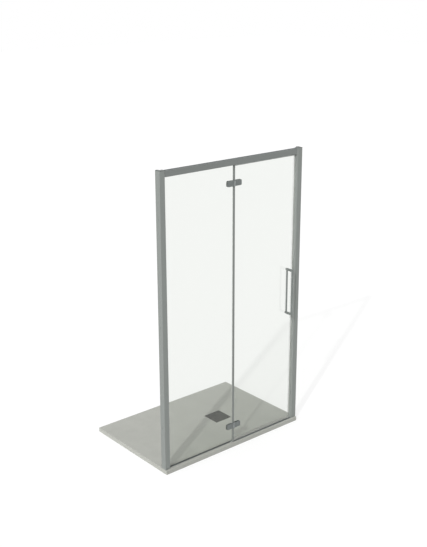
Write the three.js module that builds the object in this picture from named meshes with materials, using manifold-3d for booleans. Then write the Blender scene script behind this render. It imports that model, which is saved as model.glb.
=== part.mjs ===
import * as THREE from 'three';
import { mergeVertices } from 'three/addons/utils/BufferGeometryUtils.js';
import Module from 'manifold-3d';

const wasm = await Module();
wasm.setup();

// Shower enclosure for a niche: a flat tray, an aluminium frame, a fixed pane and a hinged door.
// Millimetres. X runs across the niche, Y from the front to the back and Z up.
// The origin is the middle of the tray's underside.

// Driving dimensions
const nicheWidth = 1200;
const trayDepth = 800;
const trayHeight = 30;
const screenHeight = 2000;
const frameSetback = 10;
const frameDepth = 45;
const innerDepth = 28;
const glassThickness = 6;
const glassSetback = 18;
const splitFromLeft = 600;

// Clearances shared by all the pieces
const fitGap = 0.2;
const slideGap = 0.3;
const runGap = 0.4;
const cutOverrun = 1;

// Steps in round shapes
const cornerSegments = 4;
const roundSegments = 24;
const holeSegments = 12;
const socketSides = 6;

// Tray
const trayEdgeRadius = 3;
const rimFront = 90;
const rimSide = 45;
const trayFall = 3;
const wasteFromLeft = 767;
const wasteFromFront = 387;

// Drain cover, which stands on feet in a square recess of the tray
const coverSide = 138;
const coverThickness = 5;
const coverBevel = 1;
const coverCorner = 3;
const coverGap = 2.5;
const coverFootHeight = 3;
const coverFootRadius = 5;
const coverFootInset = 14;

// Waste: a flange through the tray, a gasket and a nut below, a strainer plate inside
const wasteHoleRadius = 46;
const sleeveRadius = 44;
const sleeveWall = 4;
const ledgeWidth = 4;
const ledgeDrop = 6;
const flangeRadius = 56;
const flangeThickness = 2.5;
const counterboreRadius = 60;
const counterboreDepth = 8;
const wasteGroundGap = 0.5;
const gasketThickness = 1.9;
const wasteGasketRadius = 55;
const nutRadius = 57;
const nutHeight = 5;
const strainerThickness = 2;
const strainerHoleRadius = 3;
const strainerKnobRadius = 5;
const strainerKnobHeight = 4;
const strainerRings = [{ radius: 15, count: 5 }, { radius: 28, count: 10 }];

// Wall channels, one on each side wall
const channelWall = 1.8;
const channelFront = 33;
const channelBack = 18;
const channelEdge = 0.6;
const wallHoleRadius = 3;
const wallHoleShares = [0.15, 0.5, 0.85];
const capThickness = 3;
const capSetback = 0.5;
const capPeg = 6;
const capPegDepth = 8;

// Inner profiles, which slide in the wall channels
const innerStart = 9;
const innerWall = 1.5;
const tailWidth = 8;
const glassProfileReach = 40;
const closingProfileReach = 47;
const profileSlotDepth = 16;
const magnetPocketDepth = 3;
const magnetPocketWidth = 8;
const closingFaceWall = 4.5;
const frameMagnetProud = 0.4;
const frameMagnetInset = 10;

// Top rail
const railHeight = 40;
const railWall = 2;
const railEdge = 1;
const railSlotDepth = 12;

// Corner brackets, plugged into the rail and the inner profiles
const bracketLength = 30;
const tongueLength = 20;
const tongueInset = 4;

// Gaskets and seals
const gasketWall = 1.2;
const gasketProud = 0.8;
const footFrontWall = 5;
const footBackWall = 2;
const footHeight = 5;
const footBase = 1.5;
const thresholdSetback = 3;
const thresholdWidth = 9;
const thresholdHeight = 4.5;
const thresholdSlope = 2;
const blockLength = 12;
const blockFromSplit = 12;
const blockHeight = 7;
const stopFlange = 2.2;
const stopFootHeight = 5;
const stopLipDrop = 10;
const stopLipThickness = 2.4;
const stopFromSplit = 16;

// Panes
const paneGrip = 10;
const fixedEdgeGap = 5;
const doorEdgeGap = 4;
const closingEdgeGap = 12;
const doorFootGap = 12;
const doorHeadGap = 5;
const glassHoleRadius = 5;

// Seals on the door
const sealWall = 1.2;
const sealGrip = 8;
const sealFootDrop = 3.8;
const splitBulb = 3.5;
const splitBulbSlope = 2;
const magnetSealTipGap = 1;
const magnetChamberWall = 1.4;
const dripGrip = 6;
const dripBase = 3.3;
const dripLipDrop = 2.2;
const dripLipOffset = 3.2;

// Hinges
const hingeFromEnd = 120;
const hingeFromSplit = 5;
const hingeHeight = 38;
const leafReach = 59;
const leafStart = 2.5;
const leafThickness = 7;
const backLeafThickness = 5;
const leafCorner = 8;
const leafBevel = 0.8;
const padThickness = 0.8;
const padGap = 0.1;
const padInset = 1;
const padReach = 55;
const knuckleCount = 3;
const knuckleRadius = 6;
const knuckleSink = 0.5;
const pinRadius = 3;
const hingeScrewReach = 34;
const hingeScrewPitch = 20;
const padHoleRadius = 4;

// Handle, a closed loop of square bar with taller end bars, which its screws hold
const handleFromEdge = 46.5;
const handleCentreHeight = 999;
const handleHeight = 336;
const handleDepth = 60;
const handleBar = 9;
const handleEndBar = 16;
const handleBevel = 0.8;

// Screws
const screwRadius = 2.5;
const screwHoleRadius = 2.9;
const screwEndGap = 1;
const sunkHeadRadius = 4.6;
const sunkHeadHeight = 2.4;
const leafThreadDepth = 5;
const smallScrewRadius = 2;
const smallHoleRadius = 2.3;
const smallHeadRadius = 4;
const smallHeadHeight = 2.5;
const lockScrewLength = 9;
const lockScrewShares = [0.1, 0.9];
const bracketScrewLength = 12;
const handleHeadRadius = 7;
const handleHeadHeight = 3;
const handleThreadDepth = 5;
const socketRadius = 1.7;
const socketDepth = 1.6;

// Places worked out from the sizes above
const wallX = nicheWidth / 2;
const trayFrontY = -trayDepth / 2;
const frameFrontY = trayFrontY + frameSetback;
const screenTopZ = trayHeight + screenHeight;
const railBottomZ = screenTopZ - railHeight;
const splitX = splitFromLeft - wallX;
const closingX = wallX - closingProfileReach;
const glassBack = glassSetback + glassThickness;
const gasketFront = glassSetback - fitGap - gasketWall;
const gasketBack = glassBack + fitGap + gasketWall;
const slotFront = gasketFront - fitGap;
const slotBack = gasketBack + fitGap;
const sealFront = glassSetback - fitGap - sealWall;
const sealBack = glassBack + fitGap + sealWall;
const innerFront = channelWall + slideGap;
const tailBack = frameDepth - channelWall - slideGap;
const tailEnd = innerStart + tailWidth;
const profileSlotStart = glassProfileReach - profileSlotDepth;
const fixedLeftX = -wallX + profileSlotStart + fitGap + gasketWall + fitGap;
const fixedRightX = splitX - fixedEdgeGap;
const fixedBottomZ = trayHeight + footBase + fitGap;
const fixedTopZ = railBottomZ + paneGrip;
const doorLeftX = splitX + doorEdgeGap;
const doorRightX = closingX - closingEdgeGap;
const doorBottomZ = trayHeight + doorFootGap;
const doorTopZ = railBottomZ - doorHeadGap;
const leafBack = glassSetback - padGap - padThickness - padGap;
const leafFront = leafBack - leafThickness;
const backLeafFront = glassBack + padGap + padThickness + padGap;
const backLeafBack = backLeafFront + backLeafThickness;
const hingeLine = leafFront + knuckleSink;
const lowHingeZ = trayHeight + hingeFromEnd;
const highHingeZ = railBottomZ - hingeFromEnd;
const hingeX = splitX + hingeFromSplit;
const hingeHalf = hingeHeight / 2;
const handleX = doorRightX - handleFromEdge;
const handleZ = trayHeight + handleCentreHeight;
const handleBackV = glassSetback - fitGap;
const handleFrontV = glassSetback - handleDepth;

const fullTurn = Math.PI * 2;

// Materials
function finish(color, roughness, metalness, opacity = 1) {
  return { color, roughness, metalness, opacity };
}

const stoneResin = finish('#a4a69f', 0.75, 0);
const coverSteel = finish('#5f5f59', 0.5, 0.3);
const wasteSteel = finish('#9a9c9a', 0.35, 0.9);
const anodised = finish('#979b98', 0.45, 0.5);
const hingeMetal = finish('#7a7f7e', 0.4, 0.5);
const handleMetal = finish('#6a6e6d', 0.4, 0.5);
const screwSteel = finish('#8f9291', 0.3, 0.9);
const clearGlass = finish('#dfe6e1', 0.05, 0, 0.25);
const darkRubber = finish('#4a5052', 0.8, 0);
const greySeal = finish('#7d817e', 0.6, 0);
const paleSeal = finish('#c3c7c2', 0.45, 0, 0.7);
const dripPlastic = finish('#989b96', 0.6, 0);
const palePlastic = finish('#b9bcb6', 0.6, 0);
const capPlastic = finish('#808482', 0.55, 0);

const group = new THREE.Group();

function addPiece(name, geometry, look) {
  const material = new THREE.MeshStandardMaterial({
    color: look.color,
    roughness: look.roughness,
    metalness: look.metalness,
    opacity: look.opacity,
    transparent: look.opacity < 1,
  });
  const mesh = new THREE.Mesh(geometry, material);
  mesh.name = name;
  group.add(mesh);
}

// Outlines, always turned counterclockwise
function outline(points) {
  const corners = points.map(([a, b]) => new THREE.Vector2(a, b));
  if (THREE.ShapeUtils.isClockWise(corners)) corners.reverse();
  return new THREE.Shape(corners);
}

function rectangle(a0, b0, a1, b1) {
  return outline([[a0, b0], [a1, b0], [a1, b1], [a0, b1]]);
}

function rounded(a0, b0, a1, b1, radius) {
  const shape = new THREE.Shape();
  shape.moveTo(a0 + radius, b0);
  shape.lineTo(a1 - radius, b0);
  shape.absarc(a1 - radius, b0 + radius, radius, -Math.PI / 2, 0, false);
  shape.lineTo(a1, b1 - radius);
  shape.absarc(a1 - radius, b1 - radius, radius, 0, Math.PI / 2, false);
  shape.lineTo(a0 + radius, b1);
  shape.absarc(a0 + radius, b1 - radius, radius, Math.PI / 2, Math.PI, false);
  shape.lineTo(a0, b0 + radius);
  shape.absarc(a0 + radius, b0 + radius, radius, Math.PI, Math.PI * 1.5, false);
  return shape;
}

function addRoundHole(shape, a, b, radius) {
  const hole = new THREE.Path();
  hole.absarc(a, b, radius, 0, fullTurn, true);
  shape.holes.push(hole);
}

function addChamber(shape, a0, b0, a1, b1) {
  shape.holes.push(rectangle(a0, b0, a1, b1));
}

// Solids: an outline pushed along one axis, a box, a rod and a turned profile
const unitX = new THREE.Vector3(1, 0, 0);
const unitY = new THREE.Vector3(0, 1, 0);
const unitZ = new THREE.Vector3(0, 0, 1);
const towardsFront = unitY.clone().negate();
const acrossBasis = new THREE.Matrix4().makeBasis(unitY, unitZ, unitX);
const frontBasis = new THREE.Matrix4().makeBasis(unitX, unitZ, towardsFront);

function push(shape, length, bevel) {
  const geometry = new THREE.ExtrudeGeometry(shape, {
    depth: length - 2 * bevel,
    curveSegments: cornerSegments,
    bevelEnabled: bevel > 0,
    bevelThickness: bevel,
    bevelSize: bevel,
    bevelOffset: -bevel,
    bevelSegments: 1,
  });
  return geometry.translate(0, 0, bevel);
}

// An outline in X and Y, from one height to another
function upright(shape, z0, z1, bevel = 0) {
  return push(shape, z1 - z0, bevel).translate(0, 0, z0);
}

// An outline in Y and Z, from one X to another
function across(shape, x0, x1, bevel = 0) {
  return push(shape, x1 - x0, bevel).applyMatrix4(acrossBasis).translate(x0, 0, 0);
}

// An outline in X and Z, from one Y to another
function facing(shape, y0, y1, bevel = 0) {
  return push(shape, y1 - y0, bevel).applyMatrix4(frontBasis).translate(0, y1, 0);
}

function box(x0, y0, z0, x1, y1, z1) {
  const geometry = new THREE.BoxGeometry(x1 - x0, y1 - y0, z1 - z0);
  return geometry.translate((x0 + x1) / 2, (y0 + y1) / 2, (z0 + z1) / 2);
}

function uprightRod(radius, x, y, z0, z1, segments = roundSegments) {
  const geometry = new THREE.CylinderGeometry(radius, radius, z1 - z0, segments);
  return geometry.rotateX(Math.PI / 2).translate(x, y, (z0 + z1) / 2);
}

function facingRod(radius, x, z, y0, y1, segments = holeSegments) {
  const geometry = new THREE.CylinderGeometry(radius, radius, y1 - y0, segments);
  return geometry.translate(x, (y0 + y1) / 2, z);
}

function acrossRod(radius, y, z, x0, x1, segments = holeSegments) {
  const geometry = new THREE.CylinderGeometry(radius, radius, x1 - x0, segments);
  return geometry.rotateZ(Math.PI / 2).translate((x0 + x1) / 2, y, z);
}

// A profile of radius and height turned about a vertical axis
function turned(profile, segments = roundSegments) {
  const points = profile.map(([radius, height]) => new THREE.Vector2(radius, height));
  return new THREE.LatheGeometry(points, segments).rotateX(Math.PI / 2);
}

// A six-faced solid with a smaller rectangle below a larger one
function dishSolid(low, high, z0, z1) {
  const corners = [
    [low.x0, low.y0, z0], [low.x1, low.y0, z0], [low.x1, low.y1, z0], [low.x0, low.y1, z0],
    [high.x0, high.y0, z1], [high.x1, high.y0, z1], [high.x1, high.y1, z1], [high.x0, high.y1, z1],
  ];
  const faces = [
    [0, 3, 2], [0, 2, 1], [4, 5, 6], [4, 6, 7], [0, 1, 5], [0, 5, 4],
    [1, 2, 6], [1, 6, 5], [2, 3, 7], [2, 7, 6], [3, 0, 4], [3, 4, 7],
  ];
  const geometry = new THREE.BufferGeometry();
  geometry.setAttribute('position', new THREE.Float32BufferAttribute(corners.flat(), 3));
  geometry.setIndex(faces.flat());
  return geometry;
}

// Cuts and joins
function toSolid(geometry) {
  const bare = geometry.clone();
  bare.deleteAttribute('normal');
  bare.deleteAttribute('uv');
  const merged = mergeVertices(bare);
  const kept = [];
  for (let i = 0; i < merged.index.count; i += 3) {
    const [a, b, c] = [merged.index.getX(i), merged.index.getX(i + 1), merged.index.getX(i + 2)];
    if (a !== b && b !== c && c !== a) kept.push(a, b, c);
  }
  const mesh = new wasm.Mesh({
    numProp: 3,
    vertProperties: new Float32Array(merged.attributes.position.array),
    triVerts: new Uint32Array(kept),
  });
  return new wasm.Manifold(mesh);
}

function toGeometry(solid) {
  const mesh = solid.getMesh();
  const geometry = new THREE.BufferGeometry();
  geometry.setAttribute('position', new THREE.BufferAttribute(mesh.vertProperties, 3));
  geometry.setIndex(new THREE.BufferAttribute(mesh.triVerts, 1));
  geometry.computeVertexNormals();
  return geometry;
}

function cut(geometry, tools) {
  return toGeometry(tools.reduce((solid, tool) => solid.subtract(toSolid(tool)), toSolid(geometry)));
}

function join(geometry, others) {
  return toGeometry(others.reduce((solid, other) => solid.add(toSolid(other)), toSolid(geometry)));
}

// Distances into the niche from the left or right wall, and back from the frame's front
const sides = { left: -1, right: 1 };

function fromWall(side, distance) {
  return sides[side] * (wallX - distance);
}

function behind(distance) {
  return frameFrontY + distance;
}

function wallOutline(side, points) {
  return outline(points.map(([u, v]) => [fromWall(side, u), behind(v)]));
}

function behindOutline(points) {
  return outline(points.map(([v, z]) => [behind(v), z]));
}

// Screws, made with the shank pointing up and then turned to their places
function screwSolid(profile, headTop) {
  const socket = uprightRod(socketRadius, 0, 0, -cutOverrun, socketDepth, socketSides);
  return cut(turned(profile, holeSegments), [socket.translate(0, 0, -headTop)]);
}

function panScrew(shankRadius, headRadius, headHeight, length) {
  const profile = [
    [0, -headHeight], [headRadius, -headHeight], [headRadius, 0], [shankRadius, 0],
    [shankRadius, length], [0, length],
  ];
  return screwSolid(profile, headHeight);
}

function sunkScrew(length) {
  const profile = [
    [0, 0], [sunkHeadRadius, 0], [screwRadius, sunkHeadHeight], [screwRadius, length], [0, length],
  ];
  return screwSolid(profile, 0);
}

// The shank points to the front, and the seat is where the shank or the head's face starts
function screwFromBehind(geometry, x, seatV, z) {
  return geometry.rotateX(Math.PI / 2).translate(x, behind(seatV), z);
}

// Tray with a flat rim, a shallow fall to the waste, the cover's recess and the waste hole
const wasteX = wasteFromLeft - wallX;
const wasteY = trayFrontY + wasteFromFront;
const dishZ = trayHeight - trayFall;
const recessHalf = coverSide / 2 + coverGap;
const recessFloorZ = dishZ - coverThickness - coverFootHeight;

function trayOutline() {
  const shape = new THREE.Shape();
  shape.moveTo(trayFrontY, 0);
  shape.lineTo(-trayFrontY, 0);
  shape.lineTo(-trayFrontY, trayHeight);
  shape.lineTo(trayFrontY + trayEdgeRadius, trayHeight);
  const roundY = trayFrontY + trayEdgeRadius;
  const roundZ = trayHeight - trayEdgeRadius;
  shape.absarc(roundY, roundZ, trayEdgeRadius, Math.PI / 2, Math.PI, false);
  return shape;
}

function trayDish() {
  const low = {
    x0: wasteX - recessHalf,
    y0: wasteY - recessHalf,
    x1: wasteX + recessHalf,
    y1: wasteY + recessHalf,
  };
  const rim = {
    x0: rimSide - wallX,
    y0: trayFrontY + rimFront,
    x1: wallX - rimSide,
    y1: -trayFrontY - rimSide,
  };
  const grow = (trayFall + cutOverrun) / trayFall;
  const high = {};
  for (const side of Object.keys(low)) {
    high[side] = low[side] + (rim[side] - low[side]) * grow;
  }
  return dishSolid(low, high, dishZ, trayHeight + cutOverrun);
}

function makeTray() {
  const recess = box(
    wasteX - recessHalf, wasteY - recessHalf, recessFloorZ,
    wasteX + recessHalf, wasteY + recessHalf, trayHeight + cutOverrun,
  );
  const hole = uprightRod(wasteHoleRadius, wasteX, wasteY, -cutOverrun, trayHeight + cutOverrun);
  const counterbore = uprightRod(counterboreRadius, wasteX, wasteY, -cutOverrun, counterboreDepth);
  return cut(across(trayOutline(), -wallX, wallX), [trayDish(), recess, hole, counterbore]);
}

addPiece('shower_tray', makeTray(), stoneResin);

// Drain cover
function makeCover() {
  const half = coverSide / 2;
  const plateZ = recessFloorZ + coverFootHeight;
  const plate = upright(rounded(-half, -half, half, half, coverCorner), plateZ, dishZ, coverBevel);
  const footPlace = half - coverFootInset;
  const feet = [];
  for (const x of [-footPlace, footPlace]) {
    for (const y of [-footPlace, footPlace]) {
      feet.push(uprightRod(coverFootRadius, x, y, recessFloorZ, plateZ + coverBevel, holeSegments));
    }
  }
  return join(plate, feet).translate(wasteX, wasteY, 0);
}

addPiece('drain_cover', makeCover(), coverSteel);

// Waste
const sleeveInner = sleeveRadius - sleeveWall;
const ledgeZ = recessFloorZ - ledgeDrop;
const ledgeRadius = sleeveInner - ledgeWidth;

function atWaste(geometry) {
  return geometry.translate(wasteX, wasteY, 0);
}

function ring(inner, outer, z0, z1) {
  return turned([[inner, z0], [outer, z0], [outer, z1], [inner, z1], [inner, z0]]);
}

const flangeProfile = [
  [ledgeRadius, wasteGroundGap],
  [sleeveRadius, wasteGroundGap],
  [sleeveRadius, recessFloorZ],
  [flangeRadius, recessFloorZ],
  [flangeRadius, recessFloorZ + flangeThickness],
  [sleeveInner, recessFloorZ + flangeThickness],
  [sleeveInner, ledgeZ],
  [ledgeRadius, ledgeZ],
  [ledgeRadius, wasteGroundGap],
];
addPiece('waste_flange', atWaste(turned(flangeProfile)), wasteSteel);

const wasteGasketTop = counterboreDepth - padGap;
const wasteGasketLow = wasteGasketTop - gasketThickness;
const nutTop = wasteGasketLow - padGap;
const wasteGasket = ring(wasteHoleRadius, wasteGasketRadius, wasteGasketLow, wasteGasketTop);
addPiece('waste_gasket', atWaste(wasteGasket), darkRubber);
const wasteNut = ring(sleeveRadius + fitGap, nutRadius, nutTop - nutHeight, nutTop);
addPiece('waste_nut', atWaste(wasteNut), capPlastic);

function makeStrainer() {
  const plateTop = ledgeZ + strainerThickness;
  const edge = sleeveInner - slideGap;
  const profile = [
    [0, ledgeZ], [edge, ledgeZ], [edge, plateTop], [strainerKnobRadius, plateTop],
    [strainerKnobRadius, plateTop + strainerKnobHeight], [0, plateTop + strainerKnobHeight],
  ];
  const holes = [];
  for (const { radius, count } of strainerRings) {
    for (let i = 0; i < count; i += 1) {
      const angle = (fullTurn * i) / count;
      const [x, y] = [radius * Math.cos(angle), radius * Math.sin(angle)];
      const [low, high] = [ledgeZ - cutOverrun, plateTop + cutOverrun];
      holes.push(uprightRod(strainerHoleRadius, x, y, low, high, holeSegments));
    }
  }
  return cut(turned(profile), holes);
}

addPiece('hair_strainer', atWaste(makeStrainer()), wasteSteel);

// Wall channels
function sharesOfScreen(shares) {
  return shares.map((share) => trayHeight + screenHeight * share);
}

const lockScrewU = innerStart + tailWidth / 2;

function makeChannel(side) {
  const shape = wallOutline(side, [
    [0, 0],
    [channelFront - channelEdge, 0],
    [channelFront, channelEdge],
    [channelFront, channelWall],
    [channelWall, channelWall],
    [channelWall, frameDepth - channelWall],
    [channelBack, frameDepth - channelWall],
    [channelBack, frameDepth - channelEdge],
    [channelBack - channelEdge, frameDepth],
    [0, frameDepth],
  ]);
  const ends = [fromWall(side, -cutOverrun), fromWall(side, channelWall + cutOverrun)];
  const [x0, x1] = [Math.min(...ends), Math.max(...ends)];
  const wallHoles = sharesOfScreen(wallHoleShares).map((z) => (
    acrossRod(wallHoleRadius, behind(frameDepth / 2), z, x0, x1)
  ));
  const lockX = fromWall(side, lockScrewU);
  const [y0, y1] = [behind(frameDepth - channelWall - cutOverrun), behind(frameDepth + cutOverrun)];
  const lockHoles = sharesOfScreen(lockScrewShares).map((z) => (
    facingRod(smallHoleRadius, lockX, z, y0, y1)
  ));
  return cut(upright(shape, trayHeight, screenTopZ), [...wallHoles, ...lockHoles]);
}

for (const side of Object.keys(sides)) {
  addPiece(`wall_profile_${side}`, makeChannel(side), anodised);
}

// Inner profiles: a front part as deep as the rail, and a tail in the back of the channel
function innerOutline(side, reach) {
  return [
    [innerStart, innerFront],
    [reach - channelEdge, innerFront],
    [reach, innerFront + channelEdge],
    [reach, innerDepth],
    [tailEnd, innerDepth],
    [tailEnd, tailBack],
    [innerStart, tailBack],
  ];
}

function addWallChamber(shape, side, u0, v0, u1, v1) {
  addChamber(shape, fromWall(side, u0), behind(v0), fromWall(side, u1), behind(v1));
}

const tongueFrontV = innerFront + innerWall + slideGap;
const tongueBackV = slotFront - innerWall - slideGap;
const railChamberLowZ = railBottomZ + railSlotDepth + railWall;
const railChamberHighZ = screenTopZ - railWall;
const tongueLowZ = railChamberLowZ + tongueInset;
const tongueHighZ = railChamberHighZ - tongueInset;
const chamberBackV = innerDepth - innerWall;
const tailChamberV = innerDepth + innerWall;

// Cuts that both inner profiles need: the bracket's window and the locking screws' holes
function innerCuts(side, reach, faceWall) {
  const edges = [fromWall(side, reach + cutOverrun), fromWall(side, reach - faceWall - cutOverrun)];
  const window = box(
    Math.min(...edges), behind(tongueFrontV - slideGap), tongueLowZ - slideGap,
    Math.max(...edges), behind(tongueBackV + slideGap), tongueHighZ + slideGap,
  );
  const lockX = fromWall(side, lockScrewU);
  const [y0, y1] = [behind(tailBack - innerWall - cutOverrun), behind(tailBack + cutOverrun)];
  const lockHoles = sharesOfScreen(lockScrewShares).map((z) => (
    facingRod(smallHoleRadius, lockX, z, y0, y1)
  ));
  return [window, ...lockHoles];
}

function makeGlassProfile() {
  const side = 'left';
  const reach = glassProfileReach;
  const points = innerOutline(side, reach);
  const slot = [
    [reach, slotFront], [profileSlotStart, slotFront], [profileSlotStart, slotBack], [reach, slotBack],
  ];
  points.splice(3, 0, ...slot);
  const shape = wallOutline(side, points);
  const first = innerStart + innerWall;
  const frontChamberBack = slotFront - innerWall;
  addWallChamber(shape, side, first, innerFront + innerWall, reach - innerWall, frontChamberBack);
  addWallChamber(shape, side, first, slotFront, profileSlotStart - innerWall, chamberBackV);
  addWallChamber(shape, side, first, tailChamberV, tailEnd - innerWall, tailBack - innerWall);
  return cut(upright(shape, trayHeight, screenTopZ), innerCuts(side, reach, innerWall));
}

addPiece('glass_profile_left', makeGlassProfile(), anodised);

const magnetMiddleV = glassSetback + glassThickness / 2;
const pocketFront = magnetMiddleV - magnetPocketWidth / 2;
const pocketBack = magnetMiddleV + magnetPocketWidth / 2;

function makeClosingProfile() {
  const side = 'right';
  const reach = closingProfileReach;
  const points = innerOutline(side, reach);
  const pocketStart = reach - magnetPocketDepth;
  const pocket = [
    [reach, pocketFront], [pocketStart, pocketFront], [pocketStart, pocketBack], [reach, pocketBack],
  ];
  points.splice(3, 0, ...pocket);
  const shape = wallOutline(side, points);
  const first = innerStart + innerWall;
  const face = reach - closingFaceWall;
  addWallChamber(shape, side, first, innerFront + innerWall, face, chamberBackV);
  addWallChamber(shape, side, first, tailChamberV, tailEnd - innerWall, tailBack - innerWall);
  return cut(upright(shape, trayHeight, screenTopZ), innerCuts(side, reach, closingFaceWall));
}

addPiece('closing_profile', makeClosingProfile(), anodised);

const frameMagnetShape = rectangle(
  closingX - frameMagnetProud, behind(pocketFront + fitGap),
  closingX + magnetPocketDepth - fitGap, behind(pocketBack - fitGap),
);
const frameMagnetLow = trayHeight + frameMagnetInset;
const frameMagnetHigh = railBottomZ - frameMagnetInset;
const frameMagnet = upright(frameMagnetShape, frameMagnetLow, frameMagnetHigh);
addPiece('frame_magnet_strip', frameMagnet, palePlastic);

// Caps over the channels and inner profiles, each with a peg in the inner profile's front chamber
const capReaches = { left: glassProfileReach - capSetback, right: closingProfileReach - capSetback };

function makeCap(side) {
  const reach = capReaches[side];
  const shape = wallOutline(side, [
    [0, 0], [channelFront, 0], [channelFront, innerFront], [reach, innerFront],
    [reach, innerDepth], [channelBack, innerDepth], [channelBack, frameDepth], [0, frameDepth],
  ]);
  const plate = upright(shape, screenTopZ, screenTopZ + capThickness);
  const start = innerStart + innerWall + slideGap;
  const front = behind(innerFront + innerWall + slideGap);
  const edges = [fromWall(side, start), fromWall(side, start + capPeg)];
  const peg = box(
    Math.min(...edges), front, screenTopZ - capPegDepth,
    Math.max(...edges), front + capPeg, screenTopZ + capThickness / 2,
  );
  return join(plate, [peg]);
}

for (const side of Object.keys(sides)) {
  addPiece(`profile_cap_${side}`, makeCap(side), capPlastic);
}

// Top rail, with a glazing slot underneath and two chambers
const railLeftX = fromWall('left', glassProfileReach) + fitGap;
const railRightX = closingX - fitGap;
const bracketScrewZ = (railChamberLowZ + railChamberHighZ) / 2;
const bracketScrewXs = [railLeftX + bracketLength / 2, railRightX - bracketLength / 2];

function makeRail() {
  const slotTopZ = railBottomZ + railSlotDepth;
  const shape = behindOutline([
    [railEdge, railBottomZ],
    [slotFront, railBottomZ],
    [slotFront, slotTopZ],
    [slotBack, slotTopZ],
    [slotBack, railBottomZ],
    [innerDepth, railBottomZ],
    [innerDepth, screenTopZ - railEdge],
    [innerDepth - railEdge, screenTopZ],
    [railEdge, screenTopZ],
    [0, screenTopZ - railEdge],
    [0, railBottomZ + railEdge],
  ]);
  const backWall = behind(innerDepth - railWall);
  addChamber(shape, behind(railWall), railChamberLowZ, backWall, railChamberHighZ);
  addChamber(shape, behind(railWall), railBottomZ + railWall, behind(slotFront - railWall), slotTopZ);
  const [y0, y1] = [backWall - cutOverrun, behind(innerDepth + cutOverrun)];
  const holes = bracketScrewXs.map((x) => facingRod(smallHoleRadius, x, bracketScrewZ, y0, y1));
  return cut(across(shape, railLeftX, railRightX), holes);
}

addPiece('top_rail', makeRail(), anodised);

// Corner brackets
function makeBracket(side) {
  const inward = -sides[side];
  const railEnd = side === 'left' ? railLeftX : railRightX;
  const blockEnd = railEnd + inward * bracketLength;
  const tongueEnd = railEnd - inward * tongueLength;
  const [blockX0, blockX1] = [Math.min(railEnd, blockEnd), Math.max(railEnd, blockEnd)];
  const [tongueX0, tongueX1] = [Math.min(blockEnd, tongueEnd), Math.max(blockEnd, tongueEnd)];
  const block = box(
    blockX0, behind(railWall + fitGap), railChamberLowZ + fitGap,
    blockX1, behind(innerDepth - railWall - fitGap), railChamberHighZ - fitGap,
  );
  const tongue = box(
    tongueX0, behind(tongueFrontV), tongueLowZ,
    tongueX1, behind(tongueBackV), tongueHighZ,
  );
  const screwX = (railEnd + blockEnd) / 2;
  const bore = facingRod(smallHoleRadius, screwX, bracketScrewZ, frameFrontY, behind(frameDepth));
  return cut(join(block, [tongue]), [bore]);
}

Object.keys(sides).forEach((side, i) => {
  addPiece(`rail_bracket_${side}`, makeBracket(side), capPlastic);
  const screw = panScrew(smallScrewRadius, smallHeadRadius, smallHeadHeight, bracketScrewLength);
  const placed = screwFromBehind(screw, bracketScrewXs[i], innerDepth + padGap, bracketScrewZ);
  addPiece(`rail_bracket_screw_${side}`, placed, screwSteel);
  sharesOfScreen(lockScrewShares).forEach((z, k) => {
    const lock = panScrew(smallScrewRadius, smallHeadRadius, smallHeadHeight, lockScrewLength);
    const placedLock = screwFromBehind(lock, fromWall(side, lockScrewU), frameDepth + padGap, z);
    addPiece(`lock_screw_${side}_${['low', 'high'][k]}`, placedLock, screwSteel);
  });
});

// Gaskets of the fixed pane
function addTrough(points, base, depth) {
  return [...points, [gasketBack, depth], [gasketBack, base], [gasketFront, base], [gasketFront, depth]];
}

const gasketInnerFront = glassSetback - fitGap;
const gasketInnerBack = glassBack + fitGap;
const sideGasketBase = profileSlotStart + fitGap;
const sideGasketFloor = sideGasketBase + gasketWall;
const sideGasketEnd = glassProfileReach + gasketProud;
const sideGasketShape = wallOutline('left', [
  [sideGasketEnd, gasketFront], [sideGasketBase, gasketFront],
  [sideGasketBase, gasketBack], [sideGasketEnd, gasketBack],
  [sideGasketEnd, gasketInnerBack], [sideGasketFloor, gasketInnerBack],
  [sideGasketFloor, gasketInnerFront], [sideGasketEnd, gasketInnerFront],
]);
const sideGasketTop = railBottomZ - gasketProud - fitGap;
addPiece('fixed_side_gasket', upright(sideGasketShape, trayHeight, sideGasketTop), darkRubber);

const topGasketX = fromWall('left', sideGasketEnd + fitGap);
const topGasketLow = railBottomZ - gasketProud;
const topGasketFloor = fixedTopZ + fitGap;
const topGasketBase = topGasketFloor + gasketWall;
const topGasketShape = behindOutline([
  [gasketFront, topGasketLow], [gasketInnerFront, topGasketLow],
  [gasketInnerFront, topGasketFloor], [gasketInnerBack, topGasketFloor],
  [gasketInnerBack, topGasketLow], [gasketBack, topGasketLow],
  [gasketBack, topGasketBase], [gasketFront, topGasketBase],
]);
addPiece('fixed_top_gasket', across(topGasketShape, topGasketX, fixedRightX), darkRubber);

// Seal under the fixed pane, the threshold under the door and the block between them
const footTopZ = trayHeight + footHeight;
const footFloorZ = trayHeight + footBase;
const footFrontV = gasketInnerFront - footFrontWall;
const footBackV = gasketInnerBack + footBackWall;
const footShape = behindOutline([
  [footFrontV, trayHeight], [footBackV, trayHeight], [footBackV, footTopZ],
  [gasketInnerBack, footTopZ], [gasketInnerBack, footFloorZ],
  [gasketInnerFront, footFloorZ], [gasketInnerFront, footTopZ], [footFrontV, footTopZ],
]);
addPiece('fixed_foot_seal', across(footShape, topGasketX, fixedRightX), darkRubber);

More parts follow.
